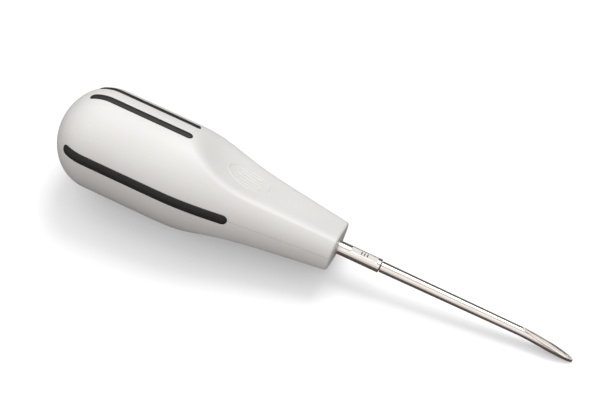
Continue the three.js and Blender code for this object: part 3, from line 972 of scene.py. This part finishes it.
class Paint:
    """A material's node tree being built."""

    def __init__(self, name):
        self.material = bpy.data.materials.new(name)
        self.material.use_nodes = True
        self.nodes = self.material.node_tree.nodes
        self.links = self.material.node_tree.links
        self.shader = self.nodes["Principled BSDF"]

    def local(self, stretch=(1, 1, 1)):
        """The point's place in the instrument's axes, in millimetres, stretched."""
        source = self.nodes.new("ShaderNodeAttribute")
        source.attribute_name = LOCAL
        return self.mapped(source.outputs["Vector"], stretch)

    def objects(self, stretch=(1, 1, 1)):
        source = self.nodes.new("ShaderNodeTexCoord")
        return self.mapped(source.outputs["Object"], stretch)

    def mapped(self, vector, stretch):
        mapping = self.nodes.new("ShaderNodeMapping")
        mapping.inputs["Scale"].default_value = [value / MM for value in stretch]
        self.links.new(vector, mapping.inputs["Vector"])
        return mapping.outputs["Vector"]

    def noise(self, vector, scale, detail=2.0, roughness=0.5):
        node = self.nodes.new("ShaderNodeTexNoise")
        node.inputs["Scale"].default_value = scale
        node.inputs["Detail"].default_value = detail
        node.inputs["Roughness"].default_value = roughness
        self.links.new(vector, node.inputs["Vector"])
        return node.outputs["Fac"]

    def ranged(self, value, low, high, from_low=0.3, from_high=0.7):
        node = self.nodes.new("ShaderNodeMapRange")
        node.inputs["From Min"].default_value = from_low
        node.inputs["From Max"].default_value = from_high
        node.inputs["To Min"].default_value = low
        node.inputs["To Max"].default_value = high
        self.links.new(value, node.inputs["Value"])
        return node.outputs["Result"]

    def ramp(self, value, low, high):
        """Goes from low to high, each a colour or a socket, as the value goes from 0 to 1."""
        node = self.nodes.new("ShaderNodeMix")
        node.data_type = "RGBA"
        self.links.new(value, node.inputs["Factor"])
        self.feed(node.inputs["A"], low)
        self.feed(node.inputs["B"], high)
        return node.outputs["Result"]

    def feed(self, socket, value):
        if isinstance(value, bpy.types.NodeSocket):
            self.links.new(value, socket)
        else:
            socket.default_value = value

    def bump(self, value, strength, distance, below=None):
        node = self.nodes.new("ShaderNodeBump")
        node.inputs["Strength"].default_value = strength
        node.inputs["Distance"].default_value = distance
        self.links.new(value, node.inputs["Height"])
        if below is not None:
            self.links.new(below, node.inputs["Normal"])
        return node.outputs["Normal"]

    def use(self, **values):
        for key, value in values.items():
            self.feed(self.shader.inputs[key.replace("_", " ")], value)
        return self.material


def tinted(base, factor):
    return (*[min(1.0, channel * factor) for channel in base[:3]], 1)


def shell_paint():
    """Satin moulded plastic: eggshell grain, faint flow mottling and uneven gloss."""
    base = bpy.context.scene.elevator_finish.shell
    paint = Paint("handle_plastic")
    mottle = paint.noise(paint.local((0.5, 1, 1)), 0.09, 3.0)
    speck = paint.noise(paint.local(), 1.6, 2.0)
    grain = paint.noise(paint.local(), 3.2, 3.0, 0.6)
    swell = paint.noise(paint.local(), 0.35, 1.0)
    tone = paint.ramp(paint.ranged(mottle, 0, 1), tinted(base, 0.975), tinted(base, 1.02))
    gloss = paint.ranged(speck, 0.44, 0.56)
    relief = paint.bump(grain, 0.22, 0.00006, paint.bump(swell, 0.12, 0.0003))
    return paint.use(
        Base_Color=tone,
        Roughness=gloss,
        Normal=relief,
        Specular_IOR_Level=0.42,
        Coat_Weight=0.08,
        Coat_Roughness=0.35,
    )


def rubber_paint():
    """Matt elastomer: fine pebbling and dusty high spots."""
    base = bpy.context.scene.elevator_finish.rubber
    paint = Paint("grip_rubber")
    dust = paint.noise(paint.local(), 0.8, 4.0, 0.65)
    pebbles = paint.noise(paint.local(), 4.5, 2.0, 0.6)
    tone = paint.ramp(paint.ranged(dust, 0, 1, 0.4, 0.75), base, tinted(base, 2.1))
    gloss = paint.ranged(pebbles, 0.5, 0.72)
    return paint.use(
        Base_Color=tone, Roughness=gloss, Normal=paint.bump(pebbles, 0.35, 0.00005), Specular_IOR_Level=0.4
    )


def core_paint():
    """Plain moulded black with a fine grain."""
    base = bpy.context.scene.elevator_finish.core
    paint = Paint("core_plastic")
    grain = paint.noise(paint.objects(), 2.0, 3.0)
    tone = paint.ramp(paint.ranged(grain, 0, 1), base, tinted(base, 1.6))
    gloss = paint.ranged(grain, 0.4, 0.6)
    return paint.use(Base_Color=tone, Roughness=gloss, Normal=paint.bump(grain, 0.2, 0.00005))


def steel_paint(name, turned, shade_ends):
    """Polished stainless steel, marked round or along, darkened as painted shade where two parts meet.

    shade_ends gives the painted shade's two ends along the instrument."""
    base = bpy.context.scene.elevator_finish.steel
    paint = Paint(name)
    stretch = (9, 0.5, 0.5) if turned else (0.25, 5, 5)
    marks = paint.noise(paint.local(stretch), 1.0, 3.0, 0.6)
    haze = paint.noise(paint.local((0.3, 1, 1)), 0.5, 3.0)
    tone = paint.ramp(paint.ranged(haze, 0, 1), tinted(base, 0.93), tinted(base, 1.04))
    split = paint.nodes.new("ShaderNodeSeparateXYZ")
    paint.links.new(paint.local(), split.inputs["Vector"])
    # painted shade: the steel goes dark over this span, standing in for the shade in the gap between the
    # parts
    joint_shade = paint.ranged(split.outputs["X"], 0, 1, shade_ends[0] / MM, shade_ends[1] / MM)
    tone = paint.ramp(joint_shade, tone, tinted(base, 0.08))
    gloss = paint.ranged(marks, 0.11, 0.2)
    relief = paint.bump(marks, 0.1, 0.00002)
    return paint.use(Base_Color=tone, Metallic=1.0, Roughness=gloss, Normal=relief, Anisotropic=0.25)


def mark_paint():
    """Dark laser oxide, a little patchy."""
    base = bpy.context.scene.elevator_finish.mark
    paint = Paint("mark_oxide")
    patch = paint.noise(paint.local(), 5.0, 3.0)
    tone = paint.ramp(paint.ranged(patch, 0, 1), base, tinted(base, 2.2))
    return paint.use(Base_Color=tone, Roughness=0.5, Metallic=0.3, Normal=paint.bump(patch, 0.2, 0.00002))


def floor_paint():
    """Pale table board with a barely visible tooth."""
    base = bpy.context.scene.elevator_finish.floor
    paint = Paint("table_board")
    cloud = paint.noise(paint.objects(), 0.01, 3.0)
    tooth = paint.noise(paint.objects(), 0.9, 3.0)
    tone = paint.ramp(paint.ranged(cloud, 0, 1), tinted(base, 0.992), base)
    return paint.use(
        Base_Color=tone,
        Roughness=0.7,
        Normal=paint.bump(tooth, 0.04, 0.0001),
        Specular_IOR_Level=0.3,
        Emission_Color=base,
        Emission_Strength=bpy.context.scene.elevator_stage.table_glow,
    )


def card_paint():
    """Brown card with a faint mottle."""
    base = bpy.context.scene.elevator_finish.card
    paint = Paint("brown_card")
    mottle = paint.noise(paint.objects(), 0.02, 3.0)
    tone = paint.ramp(paint.ranged(mottle, 0, 1), tinted(base, 0.95), base)
    return paint.use(Base_Color=tone, Roughness=0.9)


# ---------------------------------------------------------------- operators


class MakeShells(bpy.types.Operator):
    """Make the upper and lower handle shells, with thumb rests, grooves and a fine parting line"""

    bl_idname = "elevator.make_shells"
    bl_label = "Handle shells"

    def execute(self, context):
        handle, strips = context.scene.elevator_handle, context.scene.elevator_strips
        paint = shell_paint()
        for name, half_turn in (("upper_handle_shell", False), ("lower_handle_shell", True)):
            points, faces = shell_mesh(handle, strips, half_turn)
            piece = finished_piece(name + "_skin", points, faces, paint, SHARP_SHELL)
            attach(piece, BODY)
            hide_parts(name)
        return {"FINISHED"}


class MakeStrips(bpy.types.Operator):
    """Make the six rubber grip strips, laid into the grooves of the shells"""

    bl_idname = "elevator.make_strips"
    bl_label = "Grip strips"

    def execute(self, context):
        handle, strips = context.scene.elevator_handle, context.scene.elevator_strips
        paint = rubber_paint()
        group, inputs = strip_tree()
        blank = handle_blank(handle)
        places = {
            "upper_left_strip": (strips.pair_offset, 0.0),
            "upper_right_strip": (-strips.pair_offset, 0.0),
            "lower_left_strip": (-strips.pair_offset, math.pi),
            "lower_right_strip": (strips.pair_offset, math.pi),
            "left_side_strip": (0.0, -math.pi / 2),
            "right_side_strip": (0.0, math.pi / 2),
        }
        bed_gap = 0.03 * MM
        for name, (offset, turn) in places.items():
            paired = name in PAIR_STRIPS
            mesh = baked(
                name,
                group,
                inputs,
                {
                    "Start": strips.pair_start if paired else strips.side_start,
                    "End": strips.pair_end if paired else strips.side_end,
                    "Width": strips.pair_width if paired else strips.side_width,
                    "Offset": offset,
                    "Turn": turn,
                    "Depth": strips.groove_depth + strips.stand - bed_gap,
                    "Stand": strips.stand,
                    "Crown": strips.crown,
                    "Edge": strips.edge,
                    "Body": blank,
                    "Material": paint,
                },
            )
            piece = lay_down(name + "_rubber", mesh, paint, SHARP_STRIP)
            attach(piece, BODY)
            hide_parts(name)
        bpy.data.objects.remove(blank)
        return {"FINISHED"}


class MakeMotif(bpy.types.Operator):
    """Make the low oval relief in both thumb rests"""

    bl_idname = "elevator.make_motif"
    bl_label = "Thumb-rest relief"

    def execute(self, context):
        handle, motif = context.scene.elevator_handle, context.scene.elevator_motif
        paint = shell_paint()
        group, inputs = motif_tree()
        blank = handle_blank(handle)
        for name, turn in (("upper_oval_relief", 0.0), ("lower_oval_relief", math.pi)):
            mesh = baked(
                name,
                group,
                inputs,
                {
                    "Centre": (motif.centre, 0.0, 0.0),
                    "Size": (motif.half_length, motif.half_width, 1.0),
                    "Ribs": motif.ribs,
                    "Reach": motif.reach,
                    "Bead": motif.bead,
                    "Sink": motif.sink,
                    "Turn": turn,
                    "Body": blank,
                    "Material": paint,
                },
            )
            piece = lay_down(name, mesh, paint, SHARP_STRIP)
            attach(piece, BODY)
        bpy.data.objects.remove(blank)
        return {"FINISHED"}


class MakeCollar(bpy.types.Operator):
    """Make the steel collar with its ground flat"""

    bl_idname = "elevator.make_collar"
    bl_label = "Collar"

    def execute(self, context):
        steel = context.scene.elevator_steel
        points, faces = collar_mesh(steel)
        front = COLLAR_BOX[1][0]
        # painted shade on the collar's front face, where the shank's shoulder meets it
        shade_length = 0.06 * MM
        paint = steel_paint("collar_steel", True, (front - shade_length, front))
        piece = finished_piece("collar_sleeve", points, faces, paint, SHARP_STEEL)
        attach(piece, BODY)
        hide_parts("collar")
        return {"FINISHED"}


class MakeSizeMark(bpy.types.Operator):
    """Make the size mark on the collar's flat: a row of plain dark bars"""

    bl_idname = "elevator.make_size_mark"
    bl_label = "Size mark"

    def execute(self, context):
        steel = context.scene.elevator_steel
        paint = mark_paint()
        group, inputs = bars_tree()
        middle = (steel.flat_start + steel.flat_end) / 2
        first = middle - steel.mark_pitch * (steel.mark_bars - 1) / 2
        mesh = baked(
            "size_mark",
            group,
            inputs,
            {
                "Count": steel.mark_bars,
                "Pitch": (steel.mark_pitch, 0.0, 0.0),
                "First": (first, 0.0, steel.flat_height),
                "Size": tuple(steel.mark_size),
                "Turn": steel.flat_turn,
                "Material": paint,
            },
        )
        piece = lay_down("size_mark", mesh, paint, SHARP_MARK)
        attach(piece, BODY)
        return {"FINISHED"}


class MakeShank(bpy.types.Operator):
    """Make the shank: tang, tapered shaft and bent gouge blade in one piece"""

    bl_idname = "elevator.make_shank"
    bl_label = "Shank"

    def execute(self, context):
        steel = context.scene.elevator_steel
        points, faces = shank_mesh(steel)
        # painted shade on the tang behind the shoulder, inside the collar's bore
        shade_length = 0.1 * MM
        paint = steel_paint("shank_steel", False, (steel.shaft_start + shade_length, steel.shaft_start))
        piece = finished_piece("shank_and_blade", points, faces, paint, SHARP_STEEL)
        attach(piece, BODY)
        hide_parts("shank")
        return {"FINISHED"}


class FinishCore(bpy.types.Operator):
    """Give the hidden core its finish"""

    bl_idname = "elevator.finish_core"
    bl_label = "Core"

    def execute(self, context):
        core = frame["nodes"]["handle_core"]
        core.data.materials.clear()
        core.data.materials.append(core_paint())
        return {"FINISHED"}


class MakeStage(bpy.types.Operator):
    """Make the table, the dark card, the softbox, the light tent and the camera"""

    bl_idname = "elevator.make_stage"
    bl_label = "Stage"

    def execute(self, context):
        stage = context.scene.elevator_stage
        make_floor(stage)
        make_softbox(stage)
        make_room_light(stage.dome)
        context.scene.camera = make_camera(stage)
        context.scene.view_settings.view_transform = "Standard"
        return {"FINISHED"}


def make_camera(stage):
    camera = bpy.data.objects.new("camera", bpy.data.cameras.new("camera"))
    bpy.context.scene.collection.objects.link(camera)
    back = Vector(
        (
            math.sin(stage.azimuth) * math.cos(stage.elevation),
            -math.cos(stage.azimuth) * math.cos(stage.elevation),
            math.sin(stage.elevation),
        )
    )
    camera.location = Vector(stage.target) + back * stage.distance
    camera.rotation_euler = (-back).to_track_quat("-Z", "Y").to_euler()
    camera.data.lens = stage.lens
    camera.data.sensor_width = 36
    camera.data.clip_start = 0.01
    return camera


def make_floor(stage):
    """The table that the camera sees, and just below it the dark card that gives the steel its dark edges."""
    low = CAD_BOX[0][2]
    table = flat_sheet("table", low, stage.table_half, floor_paint())
    table.visible_diffuse = False
    table.visible_glossy = False
    table.visible_shadow = False
    card = flat_sheet("dark_card", low - stage.card_gap, stage.table_half, card_paint())
    card.visible_camera = False


def flat_sheet(name, height, half, material):
    count = 9
    ticks = np.linspace(-half, half, count)
    mesh = bpy.data.meshes.new(name)
    mesh.from_pydata([(x, y, height) for y in ticks for x in ticks], [], grid_faces(count, count))
    mesh.materials.append(material)
    sheet = bpy.data.objects.new(name, mesh)
    bpy.context.scene.collection.objects.link(sheet)
    return sheet


def make_softbox(stage):
    light = bpy.data.lights.new("key_softbox", "AREA")
    light.shape = "RECTANGLE"
    light.size, light.size_y = stage.key_size
    light.energy = stage.key
    light.color = stage.key_colour
    softbox = bpy.data.objects.new("key_softbox", light)
    softbox.location = stage.key_place
    towards = Vector(stage.target) - Vector(stage.key_place)
    softbox.rotation_euler = towards.to_track_quat("-Z", "Y").to_euler()
    bpy.context.scene.collection.objects.link(softbox)


def make_room_light(strength):
    """The light tent: even white, with a seam overhead, and open to the dark room low down at the back.

    The ramp runs over the slope y / z of a direction, from the front of the tent up and over to the back."""
    world = bpy.data.worlds.new("tent")
    bpy.context.scene.world = world
    world.use_nodes = True
    nodes, links = world.node_tree.nodes, world.node_tree.links
    background = nodes["Background"]
    background.inputs["Strength"].default_value = strength
    direction = nodes.new("ShaderNodeTexCoord")
    split = nodes.new("ShaderNodeSeparateXYZ")
    links.new(direction.outputs["Generated"], split.inputs["Vector"])
    height = nodes.new("ShaderNodeMath")
    height.operation = "MAXIMUM"
    height.inputs[1].default_value = 0.02
    links.new(split.outputs["Z"], height.inputs[0])
    slope = nodes.new("ShaderNodeMath")
    slope.operation = "DIVIDE"
    links.new(split.outputs["Y"], slope.inputs[0])
    links.new(height.outputs[0], slope.inputs[1])
    front, back = -2.0, 2.5
    spread = nodes.new("ShaderNodeMapRange")
    spread.inputs["From Min"].default_value = front
    spread.inputs["From Max"].default_value = back
    links.new(slope.outputs[0], spread.inputs["Value"])
    ramp = nodes.new("ShaderNodeValToRGB")
    links.new(spread.outputs["Result"], ramp.inputs["Fac"])
    links.new(ramp.outputs["Color"], background.inputs["Color"])
    low_front, white, seam, room = (0.72, 0.68, 0.66), (1, 0.99, 0.98), (0.45, 0.37, 0.36), (0.1, 0.09, 0.085)
    stops = (
        (front, low_front),
        (-1.5, white),
        (-0.3, white),
        (-0.2, seam),
        (-0.1, seam),
        (0.0, white),
        (1.64, white),
        (1.88, room),
    )
    elements = ramp.color_ramp.elements
    while len(elements) < len(stops):
        elements.new(1.0)
    for element, (place, tone) in zip(elements, stops):
        element.position = (place - front) / (back - front)
        element.color = (*tone, 1)


# ---------------------------------------------------------------- panel and registration

STEPS = (MakeShells, MakeMotif, MakeStrips, MakeCollar, MakeSizeMark, MakeShank, FinishCore, MakeStage)
GROUPS = (
    ("elevator_handle", ElevatorHandle),
    ("elevator_strips", ElevatorStrips),
    ("elevator_motif", ElevatorMotif),
    ("elevator_steel", ElevatorSteel),
    ("elevator_finish", ElevatorFinish),
    ("elevator_stage", ElevatorStage),
)


class ElevatorPanel(bpy.types.Panel):
    """Steps and settings of the dental elevator"""

    bl_idname = "VIEW3D_PT_elevator"
    bl_label = "Dental elevator"
    bl_space_type = "VIEW_3D"
    bl_region_type = "UI"
    bl_category = "Elevator"

    def draw(self, context):
        for step in STEPS:
            self.layout.operator(step.bl_idname)
        for name, group in GROUPS:
            box = self.layout.box()
            box.label(text=group.__doc__)
            for key in group.__annotations__:
                box.prop(getattr(context.scene, name), key)


def register():
    for _, group in GROUPS:
        bpy.utils.register_class(group)
    for name, group in GROUPS:
        setattr(bpy.types.Scene, name, PointerProperty(type=group))
    for step in STEPS:
        bpy.utils.register_class(step)
    bpy.utils.register_class(ElevatorPanel)


def unregister():
    bpy.utils.unregister_class(ElevatorPanel)
    for step in reversed(STEPS):
        bpy.utils.unregister_class(step)
    for name, group in reversed(GROUPS):
        delattr(bpy.types.Scene, name)
        bpy.utils.unregister_class(group)


def main():
    register()
    for step in STEPS:
        family, action = step.bl_idname.split(".")
        getattr(getattr(bpy.ops, family), action)()


if __name__ == "__main__":
    main()
